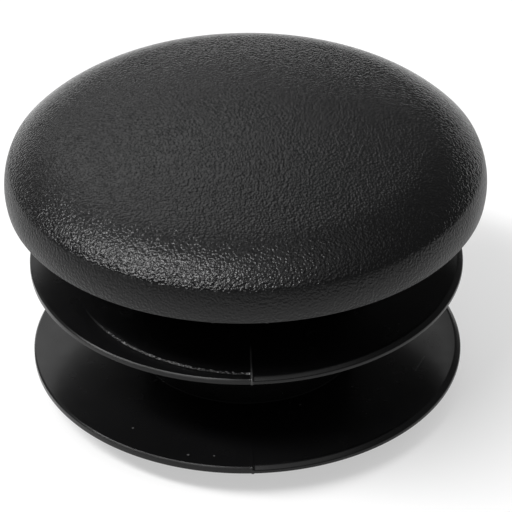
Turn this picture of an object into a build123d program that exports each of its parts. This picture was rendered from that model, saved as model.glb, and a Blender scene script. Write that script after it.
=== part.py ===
from build123d import *
from math import asin, atan2, cos, degrees, radians, sin, tan
import os

# A push-in plug for the open end of a round tube, or for a round hole.
# It is one injection moulding: a crowned head, a hollow stem and two thin sealing fins.
# Millimetres. Z is the plug's axis, and the open end of the stem stands on Z = 0.

# Head
HEAD_DIAMETER = 30.0
HEAD_HEIGHT = 5.2  # seat to the top of the crown
BAND_HEIGHT = 2.15  # side band, seat to the crease under the shoulder
BAND_RADIUS = 3.4  # the band is slightly barrel shaped
BAND_WIDEST_HEIGHT = 0.75  # where the band reaches the head's full diameter
SEAT_EDGE_CHAMFER = 0.25
SHOULDER_RADIUS = 6.3
SHOULDER_START_ANGLE = 42.0  # slope of the shoulder's normal just above the crease, degrees

# Stem
STEM_DIAMETER = 14.0
STEM_LENGTH = 14.0  # seat to open end
STEM_END_CHAMFER = 0.5

# Fins, counted down from the head
FIN_COUNT = 2
FIN_DIAMETER = 27.3
FIRST_FIN_DEPTH = 4.9  # seat to the first fin's flat upper face
FIN_PITCH = 6.7
FIN_RIM_THICKNESS = 0.45
FIN_ROOT_THICKNESS = 1.0
FIN_RIM_CHAMFER = 0.08
ROOT_CHAMFER = 0.4  # where the fins and the head meet the stem

# Core: the drafted hollow that the moulding's core pin leaves
CORE_MOUTH_DIAMETER = 10.0
CORE_DRAFT_ANGLE = 1.0
CROWN_WALL = 2.4  # plastic left above the core
CORE_ROOF_CHAMFER = 1.0

TOTAL_HEIGHT = STEM_LENGTH + HEAD_HEIGHT


def arc(centre, radius, start_angle, end_angle):
    """Arc about centre, counter-clockwise from start_angle to end_angle in degrees."""
    return CenterArc(centre, radius, start_angle, end_angle - start_angle)


def head_section():
    """Half section of the head, drawn with its seat on the X axis."""
    band_centre = Vector(HEAD_DIAMETER / 2 - BAND_RADIUS, BAND_WIDEST_HEIGHT)
    band_start = -degrees(asin(BAND_WIDEST_HEIGHT / BAND_RADIUS))
    band_end = degrees(asin((BAND_HEIGHT - BAND_WIDEST_HEIGHT) / BAND_RADIUS))
    band = arc(band_centre, BAND_RADIUS, band_start, band_end)

    start = radians(SHOULDER_START_ANGLE)
    shoulder_centre = band @ 1 - Vector(cos(start), sin(start)) * SHOULDER_RADIUS
    # The crown is a sphere centred on the axis, tangent to the inside of the shoulder arc.
    drop = HEAD_HEIGHT - shoulder_centre.Y
    reach = shoulder_centre.X
    crown_radius = (reach**2 + drop**2 - SHOULDER_RADIUS**2) / (2 * (drop - SHOULDER_RADIUS))
    crown_centre = Vector(0, HEAD_HEIGHT - crown_radius)
    tangent_angle = degrees(atan2(shoulder_centre.Y - crown_centre.Y, reach))
    shoulder = arc(shoulder_centre, SHOULDER_RADIUS, SHOULDER_START_ANGLE, tangent_angle)
    crown = arc(crown_centre, crown_radius, tangent_angle, 90)

    seat = Line((0, 0), band @ 0)
    axis = Line(crown @ 1, (0, 0))
    section = make_face([seat, band, shoulder, crown, axis])
    seat_edge = section.vertices().sort_by_distance(band @ 0)[0]
    return chamfer(seat_edge, SEAT_EDGE_CHAMFER)


def fin_section():
    """Half section of one fin: flat on top at Y = 0, drafted underneath, with a broken-edged land."""
    stem_radius = STEM_DIAMETER / 2
    fin_radius = FIN_DIAMETER / 2
    outline = Polyline(
        (0, 0),
        (fin_radius, 0),
        (fin_radius, -FIN_RIM_THICKNESS),
        (stem_radius, -FIN_ROOT_THICKNESS),
        (0, -FIN_ROOT_THICKNESS),
        close=True,
    )
    section = make_face(outline)
    rim_corners = section.vertices().group_by(Axis.X)[-1]
    return chamfer(rim_corners, FIN_RIM_CHAMFER)


def core_section():
    """Half section of the core, open at the stem's end."""
    mouth_radius = CORE_MOUTH_DIAMETER / 2
    depth = TOTAL_HEIGHT - CROWN_WALL
    roof_radius = mouth_radius - depth * tan(radians(CORE_DRAFT_ANGLE))
    outline = Polyline((0, 0), (mouth_radius, 0), (roof_radius, depth), (0, depth), close=True)
    section = make_face(outline)
    roof_corner = section.vertices().group_by(Axis.Y)[-1].sort_by(Axis.X)[-1]
    return chamfer(roof_corner, CORE_ROOF_CHAMFER)


def plug_section():
    """Half section of the whole plug, in the XY plane: X is the radius and Y the height."""
    stem = Pos(STEM_DIAMETER / 4, STEM_LENGTH / 2) * Rectangle(STEM_DIAMETER / 2, STEM_LENGTH)
    section = Pos(0, STEM_LENGTH) * head_section() + stem
    for fin in range(FIN_COUNT):
        section += Pos(0, STEM_LENGTH - FIRST_FIN_DEPTH - fin * FIN_PITCH) * fin_section()

    on_stem = [v for v in section.vertices() if abs(v.X - STEM_DIAMETER / 2) < 1e-4]
    corners = ShapeList(on_stem).sort_by(Axis.Y)
    section = chamfer(corners[1:], ROOT_CHAMFER)
    stem_end = section.vertices().sort_by_distance((STEM_DIAMETER / 2, 0))[0]
    section = chamfer(stem_end, STEM_END_CHAMFER)
    return section - core_section()


def hole_plug():
    plug = revolve(Plane.XZ * plug_section(), axis=Axis.Z)
    plug.label = "hole_plug"
    return plug


os.makedirs("parts", exist_ok=True)
export_step(hole_plug(), "parts/hole_plug.step")
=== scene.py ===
"""Looks, light and camera of the black plastic hole plug, for Blender 4.5.

One closed mesh is shown in place of the CAD solid. It has the same section, and adds what the mould leaves on the real
plug: rounded edges, the parting line, a thin ledge, and fin rims that are crisp on one half and worn soft on the other.
Lengths whose name ends in _MM, and the section functions, are in millimetres. All others are in metres. Angles are in
degrees. Azimuth -90 is the camera's side of the plug, and 0 is to the camera's right.
"""

from math import asin, atan2, cos, degrees, pi, radians, sin, tan

import bpy
from mathutils import Matrix, Vector


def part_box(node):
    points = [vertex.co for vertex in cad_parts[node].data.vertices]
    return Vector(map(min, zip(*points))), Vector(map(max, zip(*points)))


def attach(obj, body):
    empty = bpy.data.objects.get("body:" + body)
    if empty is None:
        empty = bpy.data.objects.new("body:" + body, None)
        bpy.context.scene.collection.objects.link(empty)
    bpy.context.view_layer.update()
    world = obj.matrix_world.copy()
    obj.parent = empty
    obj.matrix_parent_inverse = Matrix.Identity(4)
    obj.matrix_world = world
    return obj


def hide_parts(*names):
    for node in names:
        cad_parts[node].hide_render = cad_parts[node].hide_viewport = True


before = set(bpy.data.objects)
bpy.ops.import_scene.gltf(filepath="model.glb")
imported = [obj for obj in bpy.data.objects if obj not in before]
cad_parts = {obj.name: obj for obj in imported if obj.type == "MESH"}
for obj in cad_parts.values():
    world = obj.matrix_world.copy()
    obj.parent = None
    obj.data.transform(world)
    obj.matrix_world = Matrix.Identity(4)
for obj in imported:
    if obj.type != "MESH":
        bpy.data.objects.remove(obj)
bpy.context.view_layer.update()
MM = 0.001

# The CAD's own sizes.
TOTAL_HEIGHT_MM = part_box("hole_plug")[1].z / MM
SEAT_HEIGHT_MM = 14.0
HEAD_RADIUS_MM = 15.0
BAND_HEIGHT_MM = 2.15
BAND_ARC_RADIUS_MM = 3.4
BAND_WIDEST_MM = 0.75
SHOULDER_RADIUS_MM = 6.3
SHOULDER_START = 42.0
STEM_RADIUS_MM = 7.0
UPPER_FIN_MM = 9.1
LOWER_FIN_MM = 2.4
FIN_RADIUS_MM = 13.65
RIM_THICKNESS_MM = 0.45
FIN_ROOT_THICKNESS_MM = 1.0
CORE_MOUTH_RADIUS_MM = 5.0
CORE_DRAFT = 1.0
CROWN_WALL_MM = 2.4

# Roundings, some of them in place of the CAD's chamfers.
BAND_FOOT_MM = 0.1  # height above the seat at which the band's arc ends
SEAT_EDGE_INSET_MM = 0.08
SEAT_EDGE_ROUND_MM = 0.05
ROOT_ROUND_MM = 0.05
STEM_END_ROUND_MM = 0.5
CORE_MOUTH_ROUND_MM = 0.1
CORE_ROOF_ROUND_MM = 1.0
CORE_ROOF_CENTRE_MM = 0.5  # the roof's outline stops this far from the axis, and one point closes it

# The fins' rims, as (crisp half, worn half).
EDGE_WIDTH_MM = (0.1, 0.3)
EDGE_DEPTH_MM = (0.1, 0.22)
EDGE_TOP_ROUND_MM = (0.02, 0.32)
EDGE_FOOT_ROUND_MM = (0.01, 0.11)
RIM_FOOT_ROUND_MM = 0.04  # the same on both halves

# The parting line of the mould, on both fins.
SEAM_AZIMUTH = -89.0
SEAM_WIDTH = 0.5
SEAM_HEIGHT_MM = 0.04
SEAM_INNER_MM = 10.0  # no seam inside this radius
SEAM_RISE_MM = 0.1  # it reaches its height within this length
SEAM_HIGHLIGHT_FADE_MM = 0.08  # its painted highlight, a pale line, fades out this far to each side

# The upper fin's ledge, a near circle set off the axis towards LEDGE_AZIMUTH. It ends at the parting line.
LEDGE_AZIMUTH = -60.0
LEDGE_OFFSET_MM = 1.63
LEDGE_RADIUS_MM = 11.6
LEDGE_SLOPE_MM = 0.11
LEDGE_DEPTH_MM = 0.1
LEDGE_ROUND_MM = 0.03
LEDGE_START = -155.0
LEDGE_FADE_IN = 20.0
LEDGE_REACH = 90.0  # no ledge further than this past its start
LEDGE_INNER_GAP_MM = 0.3  # kept between the ledge and SEAM_INNER_MM
LEDGE_RIM_GAP_MM = 0.2  # kept between the ledge and the rim's worn edge

# Trimmed flash under the head's rim.
NUB_AZIMUTHS = (-97.9, -85.4)
NUB_WIDTH = 0.6
NUB_HEIGHT_MM = 0.08

# Specks on the lower fin's top, as (x, y, radius), and the two ends of a short scratch.
SPECKS_MM = [(-7.15, -9.44, 0.09), (-3.71, -12.26, 0.1), (-2.12, -12.39, 0.08), (3.25, -7.2, 0.1), (6.56, -5.34, 0.1)]
SCRATCH_MM = ((10.61, -3.68), (11.25, -2.16))
SCRATCH_WIDTH_MM = 0.14
SCRATCH_DOTS = 13

# Mesh density. The steps are between sections, and the fine one is used near the parting line.
COARSE_STEP = 1.25
FINE_STEP = 0.25
FINE_REACH = 10.0
CROWN_STEPS = 26
SHOULDER_STEPS = 24
BAND_STEPS = 12
CORNER_STEPS = 5
STRAIGHT = 89.0  # a corner whose half angle is above this is taken as none

# Finish of the plastic. Noise scales are per metre, and depths are the bumps' heights.
PLASTIC_COLOUR = (0.004, 0.004, 0.0042, 1)
PALE_MARK_AND_HIGHLIGHT_COLOUR = (0.07, 0.07, 0.07, 1)  # of the specks and scratch, and of the parting line's painted highlight
SPECULAR_LEVEL = 0.25
GRAIN_SCALE = 6500
GRAIN_DEPTH = 0.00007
GRAINED_ROUGHNESS = (0.14, 0.19)
BAND_DULLNESS = 0.2  # added to the roughness of the band below the crease
GRAINED_PATCH_SCALE = 260
SMOOTH_ROUGHNESS = (0.22, 0.28)
SMOOTH_PATCH_SCALE = 700
TORN_SCALE = 5500
TORN_DEPTH = 0.0001

# Floor and light. A pool is (azimuth, elevation, reach, strength).
FLOOR_HALF_WIDTH = 0.6
FLOOR_COLOUR = (0.9, 0.9, 0.9, 1)
FLOOR_WHITE_SHARE = 0.5
ROOM_BRIGHTNESS = 0.15
LIGHT_POOLS = [(108, 41, 27, 1.8), (150, 45, 25, 0.5), (-90, 75, 40, 1.1), (135, 8, 30, 0.15)]

# Camera. Its distance and elevation are from the axis, at the seat's height.
SENSOR_WIDTH_MM = 36.0
LENS_MM = 249.8203125
CAMERA_DISTANCE = 0.2214
CAMERA_ELEVATION = 32.75
CAMERA_TARGET = (0.0006, 0, 0.00878)
CAMERA_ROLL = -0.54


def direction(azimuth, elevation):
    """Unit vector from the plug."""
    a, e = radians(azimuth), radians(elevation)
    return Vector((cos(e) * cos(a), cos(e) * sin(a), sin(e)))


def arc_points(centre, radius, start, end, steps):
    """Points on an arc from start to end. Both ends are included."""
    points = []
    for i in range(steps + 1):
        angle = radians(start + (end - start) * i / steps)
        points.append(centre + Vector((cos(angle), sin(angle))) * radius)
    return points


def round_corner(before, corner, after, radius):
    """Points of the arc that rounds one corner of an outline."""
    to_before = (before - corner).normalized()
    to_after = (after - corner).normalized()
    half_angle = to_before.angle(to_after) / 2
    if half_angle > radians(STRAIGHT):  # its points lie along the outline
        return [corner + to_after * radius * (i / CORNER_STEPS - 0.5) for i in range(CORNER_STEPS + 1)]
    setback = radius / tan(half_angle)
    start = corner + to_before * setback
    end = corner + to_after * setback
    centre = corner + (to_before + to_after).normalized() * (radius / sin(half_angle))
    start_angle = atan2(start.y - centre.y, start.x - centre.x)
    turn = atan2(end.y - centre.y, end.x - centre.x) - start_angle
    turn = (turn + pi) % (2 * pi) - pi
    return arc_points(centre, radius, degrees(start_angle), degrees(start_angle + turn), CORNER_STEPS)


def rounded(corners):
    """An outline from (radius from the axis, height, rounding) corners. No rounding leaves a point as it is."""
    points = []
    for i, (r, z, rounding) in enumerate(corners):
        corner = Vector((r, z))
        if rounding == 0:
            points.append(corner)
            continue
        before = Vector(corners[i - 1][:2])
        after = Vector(corners[i + 1][:2])
        points += round_corner(before, corner, after, rounding)
    return points


def closeness(azimuth, centre, width):
    """1 at the centre azimuth, falling to 0 half a width to each side."""
    off = abs((azimuth - centre + 180) % 360 - 180)
    return max(0.0, 1 - off / (width / 2))


def blend(ends, share):
    """The first of two ends at share 0, the second at share 1."""
    return ends[0] + (ends[1] - ends[0]) * share


def crown_and_band():
    """Points from beside the crown's centre, over the shoulder and down the band."""
    band_centre = Vector((HEAD_RADIUS_MM - BAND_ARC_RADIUS_MM, SEAT_HEIGHT_MM + BAND_WIDEST_MM))
    band_top = degrees(asin((BAND_HEIGHT_MM - BAND_WIDEST_MM) / BAND_ARC_RADIUS_MM))
    band_foot = -degrees(asin((BAND_WIDEST_MM - BAND_FOOT_MM) / BAND_ARC_RADIUS_MM))
    band = arc_points(band_centre, BAND_ARC_RADIUS_MM, band_top, band_foot, BAND_STEPS)

    start = radians(SHOULDER_START)
    shoulder_centre = band[0] - Vector((cos(start), sin(start))) * SHOULDER_RADIUS_MM
    drop = TOTAL_HEIGHT_MM - shoulder_centre.y
    reach = shoulder_centre.x
    crown_radius = (reach**2 + drop**2 - SHOULDER_RADIUS_MM**2) / (2 * (drop - SHOULDER_RADIUS_MM))
    crown_centre = Vector((0, TOTAL_HEIGHT_MM - crown_radius))
    tangent = degrees(atan2(shoulder_centre.y - crown_centre.y, reach))
    crown = arc_points(crown_centre, crown_radius, 90, tangent, CROWN_STEPS)[1:]
    shoulder = arc_points(shoulder_centre, SHOULDER_RADIUS_MM, tangent, SHOULDER_START, SHOULDER_STEPS)[1:]
    return [(p.x, p.y, 0) for p in crown + shoulder + band[1:]]


CROWN_AND_BAND = crown_and_band()
HEAD_POINTS = len(CROWN_AND_BAND) + CORNER_STEPS + 1  # the grained outline ends after the rounded seat edge


def head_corners(azimuth):
    """The head's whole outline, down to the seat's inner end."""
    nub = max(closeness(azimuth, centre, NUB_WIDTH) for centre in NUB_AZIMUTHS)
    seat_edge = (HEAD_RADIUS_MM - SEAT_EDGE_INSET_MM, SEAT_HEIGHT_MM - NUB_HEIGHT_MM * nub, SEAT_EDGE_ROUND_MM)
    return CROWN_AND_BAND + [seat_edge, (STEM_RADIUS_MM, SEAT_HEIGHT_MM, ROOT_ROUND_MM)]


def worn_share(azimuth):
    """0 on the half whose rims are crisp, 1 on the half whose rims are worn, blending at the parting line."""
    past_seam = (azimuth - SEAM_AZIMUTH) % 360
    return min(max(min(past_seam, 180 - past_seam) / SEAM_WIDTH + 0.5, 0), 1)


def ledge_share(azimuth):
    """How much of its depth the ledge has in one direction, before wear."""
    past_start = (azimuth - LEDGE_START) % 360
    return min(past_start / LEDGE_FADE_IN, 1) if past_start < LEDGE_REACH else 0


def fin_corners(top, azimuth, ledge_depth):
    """One fin, from its upper root round the rim to its lower root."""
    worn = worn_share(azimuth)
    seam = SEAM_HEIGHT_MM * closeness(azimuth, SEAM_AZIMUTH, 2 * SEAM_WIDTH)
    rim = FIN_RADIUS_MM + 2 * seam
    raised = top + seam
    ledge = LEDGE_RADIUS_MM + LEDGE_OFFSET_MM * cos(radians(azimuth - LEDGE_AZIMUTH))
    outermost = FIN_RADIUS_MM - EDGE_WIDTH_MM[1] - LEDGE_RIM_GAP_MM
    ledge = min(max(ledge, SEAM_INNER_MM + LEDGE_INNER_GAP_MM), outermost)
    lowered = raised - ledge_depth * (1 - worn) * ledge_share(azimuth)
    return [
        (STEM_RADIUS_MM, top, ROOT_ROUND_MM),
        (SEAM_INNER_MM, top, 0),
        (SEAM_INNER_MM + SEAM_RISE_MM, raised, 0),
        (ledge, raised, LEDGE_ROUND_MM),
        (ledge + LEDGE_SLOPE_MM, lowered, LEDGE_ROUND_MM),
        (rim - blend(EDGE_WIDTH_MM, worn), lowered, blend(EDGE_TOP_ROUND_MM, worn)),
        (rim, lowered - blend(EDGE_DEPTH_MM, worn), blend(EDGE_FOOT_ROUND_MM, worn)),
        (rim, top - RIM_THICKNESS_MM, RIM_FOOT_ROUND_MM),
        (STEM_RADIUS_MM, top - FIN_ROOT_THICKNESS_MM, ROOT_ROUND_MM),
    ]


def core_corners():
    """The stem's open end and the hollow above it, up to beside the axis."""
    depth = TOTAL_HEIGHT_MM - CROWN_WALL_MM
    roof_radius = CORE_MOUTH_RADIUS_MM - depth * tan(radians(CORE_DRAFT))
    return [
        (STEM_RADIUS_MM, 0, STEM_END_ROUND_MM),
        (CORE_MOUTH_RADIUS_MM, 0, CORE_MOUTH_ROUND_MM),
        (roof_radius, depth, CORE_ROOF_ROUND_MM),
        (CORE_ROOF_CENTRE_MM, depth, 0),
    ]


def section(azimuth):
    """Half section of the whole plug in one direction, from the crown round to the core's roof."""
    upper = fin_corners(UPPER_FIN_MM, azimuth, LEDGE_DEPTH_MM)
    lower = fin_corners(LOWER_FIN_MM, azimuth, 0.0)
    return rounded(head_corners(azimuth) + upper + lower + core_corners())


def azimuths():
    """Directions of the mesh's sections, closer together near the parting line."""
    angles = []
    angle = SEAM_AZIMUTH
    while angle < SEAM_AZIMUTH + 360 - 1e-6:
        angles.append(angle)
        past_seam = (angle - SEAM_AZIMUTH) % 180
        near = past_seam < FINE_REACH or past_seam >= 180 - FINE_REACH
        angle += FINE_STEP if near else COARSE_STEP
    return angles


def lathe_mesh(name, angles):
    """A closed mesh through one section per angle. Faces of the head get material 0, the others material 1."""
    rings = [section(a) for a in angles]
    count = len(rings[0])
    verts = []
    for angle, ring in zip(angles, rings):
        outward = direction(angle, 0)
        for p in ring:
            verts.append((outward * p.x + Vector((0, 0, p.y))) * MM)
    crown = len(verts)
    roof = crown + 1
    verts.append(Vector((0, 0, TOTAL_HEIGHT_MM)) * MM)
    verts.append(Vector((0, 0, rings[0][-1].y)) * MM)

    faces = []
    materials = []
    for a in range(len(angles)):
        here = a * count
        beside = (a + 1) % len(angles) * count
        faces.append((crown, here, beside))
        materials.append(0)
        for i in range(count - 1):
            faces.append((here + i, here + i + 1, beside + i + 1, beside + i))
            materials.append(0 if i < HEAD_POINTS - 1 else 1)
        faces.append((roof, beside + count - 1, here + count - 1))
        materials.append(1)

    mesh = bpy.data.meshes.new(name)
    mesh.from_pydata(verts, [], faces)
    mesh.polygons.foreach_set("material_index", materials)
    mesh.polygons.foreach_set("use_smooth", [True] * len(faces))
    mesh.update()
    return mesh


def principled(name):
    """A new material, with its node tree and its shader."""
    material = bpy.data.materials.new(name)
    material.use_nodes = True
    nodes = material.node_tree.nodes
    return material, nodes, material.node_tree.links, nodes["Principled BSDF"]


def noise(nodes, links, coordinates, scale, detail):
    node = nodes.new("ShaderNodeTexNoise")
    node.inputs["Scale"].default_value = scale
    node.inputs["Detail"].default_value = detail
    links.new(coordinates, node.inputs["Vector"])
    return node.outputs["Fac"]


def map_range(nodes, links, value, from_min, from_max, to_min, to_max, interpolation="LINEAR"):
    node = nodes.new("ShaderNodeMapRange")
    node.interpolation_type = interpolation
    node.inputs["From Min"].default_value = from_min
    node.inputs["From Max"].default_value = from_max
    node.inputs["To Min"].default_value = to_min
    node.inputs["To Max"].default_value = to_max
    links.new(value, node.inputs["Value"])
    return node.outputs["Result"]


def bump(nodes, links, height, distance):
    node = nodes.new("ShaderNodeBump")
    node.inputs["Strength"].default_value = 1.0
    node.inputs["Distance"].default_value = distance
    links.new(height, node.inputs["Height"])
    return node.outputs["Normal"]


def combined(nodes, links, operation, values):
    """Several values joined in turn by one operation, such as MAXIMUM."""
    total = values[0]
    for value in values[1:]:
        node = nodes.new("ShaderNodeMath")
        node.operation = operation
        links.new(total, node.inputs[0])
        links.new(value, node.inputs[1])
        total = node.outputs["Value"]
    return total


def vector_value(nodes, links, operation, vector, constant):
    """A vector's DOT_PRODUCT with a constant vector, or its DISTANCE from one."""
    node = nodes.new("ShaderNodeVectorMath")
    node.operation = operation
    node.inputs[1].default_value = constant
    links.new(vector, node.inputs[0])
    return node.outputs["Value"]


def grained_plastic():
    """Black plastic with a spark-eroded grain, features about 0.15 mm wide."""
    material, nodes, links, shader = principled("grained_plastic")
    coordinates = nodes.new("ShaderNodeTexCoord").outputs["Object"]
    grain = noise(nodes, links, coordinates, GRAIN_SCALE, 1.0)
    patches = noise(nodes, links, coordinates, GRAINED_PATCH_SCALE, 2.0)
    shader.inputs["Base Color"].default_value = PLASTIC_COLOUR
    shader.inputs["Specular IOR Level"].default_value = SPECULAR_LEVEL
    height = vector_value(nodes, links, "DOT_PRODUCT", coordinates, (0, 0, 1))
    crease = (SEAT_HEIGHT_MM + BAND_HEIGHT_MM) * MM
    duller = map_range(nodes, links, height, crease - 0.1 * MM, crease + 0.1 * MM, BAND_DULLNESS, 0)
    roughness = map_range(nodes, links, patches, 0.3, 0.7, *GRAINED_ROUGHNESS)
    links.new(combined(nodes, links, "ADD", [roughness, duller]), shader.inputs["Roughness"])
    links.new(bump(nodes, links, grain, GRAIN_DEPTH), shader.inputs["Normal"])
    return material


def marks(nodes, links, coordinates):
    """1 on the lower fin's specks and scratch, 0 elsewhere. The scratch is a row of overlapping dots."""
    start, end = (Vector(p) for p in SCRATCH_MM)
    dots = [(Vector((x, y)), radius) for x, y, radius in SPECKS_MM]
    dots += [(start.lerp(end, i / (SCRATCH_DOTS - 1)), SCRATCH_WIDTH_MM / 2) for i in range(SCRATCH_DOTS)]
    masks = []
    for point, radius in dots:
        centre = Vector((point.x, point.y, LOWER_FIN_MM)) * MM
        distance = vector_value(nodes, links, "DISTANCE", coordinates, centre)
        masks.append(map_range(nodes, links, distance, 0.4 * radius * MM, radius * MM, 1, 0))
    return combined(nodes, links, "MAXIMUM", masks)


def seam_highlight_mask(nodes, links, coordinates):
    """1 along the upper fin's parting line on the camera's side, where a pale line is painted as its highlight, 0
    elsewhere.
    """
    outward = direction(SEAM_AZIMUTH, 0)
    across = Vector((-outward.y, outward.x, 0))
    side = vector_value(nodes, links, "DOT_PRODUCT", coordinates, across)
    radius = vector_value(nodes, links, "DOT_PRODUCT", coordinates, outward)
    height = vector_value(nodes, links, "DOT_PRODUCT", coordinates, (0, 0, 1))
    pale, inner, top = SEAM_HIGHLIGHT_FADE_MM * MM, SEAM_INNER_MM * MM, UPPER_FIN_MM * MM
    masks = [
        map_range(nodes, links, side, -pale, 0, 0, 1),
        map_range(nodes, links, side, 0, pale, 1, 0),
        map_range(nodes, links, radius, inner, inner + MM, 0, 1),
        map_range(nodes, links, height, top - MM, top, 0, 1),
    ]
    return combined(nodes, links, "MULTIPLY", masks)


def ledge_mask(nodes, links, coordinates):
    """1 along the upper fin's ledge on the camera's side, where the surface is torn and rough, 0 elsewhere."""
    ledge, top = LEDGE_RADIUS_MM * MM, UPPER_FIN_MM * MM
    centre = direction(LEDGE_AZIMUTH, 0) * LEDGE_OFFSET_MM * MM + Vector((0, 0, top))
    distance = vector_value(nodes, links, "DISTANCE", coordinates, centre)
    right = vector_value(nodes, links, "DOT_PRODUCT", coordinates, (1, 0, 0))
    back = vector_value(nodes, links, "DOT_PRODUCT", coordinates, (0, 1, 0))
    height = vector_value(nodes, links, "DOT_PRODUCT", coordinates, (0, 0, 1))
    masks = [
        map_range(nodes, links, distance, ledge - 0.1 * MM, ledge + 0.1 * MM, 0, 1),
        map_range(nodes, links, distance, ledge + 0.35 * MM, ledge + 0.6 * MM, 1, 0),
        map_range(nodes, links, height, top - 0.25 * MM, top - 0.15 * MM, 0, 1),
        map_range(nodes, links, height, top + 0.5 * MM, top + MM, 1, 0),
        map_range(nodes, links, right, -0.3 * MM, -0.1 * MM, 1, 0),
        map_range(nodes, links, back, -9.0 * MM, -7.5 * MM, 1, 0),
    ]
    return combined(nodes, links, "MULTIPLY", masks)


def smooth_plastic():
    """The same plastic off the plain steel that forms the stem and fins."""
    material, nodes, links, shader = principled("smooth_plastic")
    coordinates = nodes.new("ShaderNodeTexCoord").outputs["Object"]
    patches = noise(nodes, links, coordinates, SMOOTH_PATCH_SCALE, 3.0)
    colour = nodes.new("ShaderNodeMix")
    colour.data_type = "RGBA"
    colour.inputs["A"].default_value = PLASTIC_COLOUR
    colour.inputs["B"].default_value = PALE_MARK_AND_HIGHLIGHT_COLOUR
    # Pale on the lower fin's specks and scratch, and a painted highlight along the upper fin's parting line.
    pale = [marks(nodes, links, coordinates), seam_highlight_mask(nodes, links, coordinates)]
    links.new(combined(nodes, links, "MAXIMUM", pale), colour.inputs["Factor"])
    links.new(colour.outputs["Result"], shader.inputs["Base Color"])
    shader.inputs["Specular IOR Level"].default_value = SPECULAR_LEVEL
    links.new(map_range(nodes, links, patches, 0.3, 0.7, *SMOOTH_ROUGHNESS), shader.inputs["Roughness"])
    torn = [noise(nodes, links, coordinates, TORN_SCALE, 1.0), ledge_mask(nodes, links, coordinates)]
    links.new(bump(nodes, links, combined(nodes, links, "MULTIPLY", torn), TORN_DEPTH), shader.inputs["Normal"])
    return material


def floor_paint():
    """White paint. Part of it is plain white to the camera and in reflections, and the rest takes the shadow."""
    material, nodes, links, shader = principled("floor_paint")
    shader.inputs["Base Color"].default_value = FLOOR_COLOUR
    shader.inputs["Roughness"].default_value = 0.9
    shader.inputs["Specular IOR Level"].default_value = 0.0
    path = nodes.new("ShaderNodeLightPath")
    rays = [path.outputs[ray] for ray in ("Is Camera Ray", "Is Glossy Ray", "Is Transmission Ray")]
    seen = combined(nodes, links, "MAXIMUM", rays)
    white = nodes.new("ShaderNodeEmission")
    mix = nodes.new("ShaderNodeMixShader")
    links.new(map_range(nodes, links, seen, 0, 1, 0, FLOOR_WHITE_SHARE), mix.inputs["Fac"])
    links.new(shader.outputs["BSDF"], mix.inputs[1])
    links.new(white.outputs["Emission"], mix.inputs[2])
    links.new(mix.outputs["Shader"], nodes["Material Output"].inputs["Surface"])
    return material


def make_plug():
    plug = bpy.data.objects.new("hole_plug_moulding", lathe_mesh("hole_plug_moulding", azimuths()))
    bpy.context.scene.collection.objects.link(plug)
    plug.data.materials.append(grained_plastic())
    plug.data.materials.append(smooth_plastic())
    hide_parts("hole_plug")
    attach(plug, "root")


def make_floor():
    half = FLOOR_HALF_WIDTH
    mesh = bpy.data.meshes.new("floor")
    mesh.from_pydata([(-half, -half, 0), (half, -half, 0), (half, half, 0), (-half, half, 0)], [], [(0, 1, 2, 3)])
    floor = bpy.data.objects.new("floor", mesh)
    floor.data.materials.append(floor_paint())
    bpy.context.scene.collection.objects.link(floor)


def aim(obj, position, target, roll):
    """Puts obj at position with its -Z towards target, turned by roll about that line."""
    turn = (target - position).to_track_quat("-Z", "Y").to_matrix().to_4x4()
    obj.matrix_world = Matrix.Translation(position) @ turn @ Matrix.Rotation(radians(roll), 4, "Z")


def softbox(name, azimuth, elevation, distance, width, height, power, roll):
    light = bpy.data.lights.new(name, "AREA")
    light.shape = "RECTANGLE"
    light.size = width
    light.size_y = height
    light.energy = power
    obj = bpy.data.objects.new(name, light)
    bpy.context.scene.collection.objects.link(obj)
    centre = Vector((0, 0, SEAT_HEIGHT_MM * MM))
    aim(obj, centre + direction(azimuth, elevation) * distance, centre, roll)


def light_pool(nodes, links, towards, azimuth, elevation, reach, strength):
    """Brightness that fades from strength in one direction to nothing at reach from it."""
    dot = vector_value(nodes, links, "DOT_PRODUCT", towards, direction(azimuth, elevation))
    return map_range(nodes, links, dot, cos(radians(reach)), 1.0, 0.0, strength, "SMOOTHSTEP")


def make_world():
    """Dim room light with soft pools of brighter light behind the plug and above it."""
    world = bpy.data.worlds.new("studio")
    world.use_nodes = True
    nodes, links = world.node_tree.nodes, world.node_tree.links
    towards = nodes.new("ShaderNodeTexCoord").outputs["Generated"]
    room = nodes.new("ShaderNodeValue").outputs[0]
    room.default_value = ROOM_BRIGHTNESS
    pools = [light_pool(nodes, links, towards, *pool) for pool in LIGHT_POOLS]
    links.new(combined(nodes, links, "ADD", [room] + pools), nodes["Background"].inputs["Strength"])
    nodes["Background"].inputs["Color"].default_value = (1, 1, 1, 1)
    bpy.context.scene.world = world


def make_camera():
    data = bpy.data.cameras.new("camera")
    data.sensor_width = SENSOR_WIDTH_MM
    data.lens = LENS_MM
    data.clip_start = 0.01
    data.clip_end = 10
    camera = bpy.data.objects.new("camera", data)
    bpy.context.scene.collection.objects.link(camera)
    bpy.context.scene.camera = camera
    position = Vector((0, 0, SEAT_HEIGHT_MM * MM)) + direction(-90, CAMERA_ELEVATION) * CAMERA_DISTANCE
    aim(camera, position, Vector(CAMERA_TARGET), CAMERA_ROLL)


make_plug()
make_floor()
make_world()
softbox("key", azimuth=-157, elevation=54.5, distance=0.6, width=0.60, height=0.10, power=4.4, roll=32)
make_camera()
bpy.context.scene.view_settings.view_transform = "Standard"
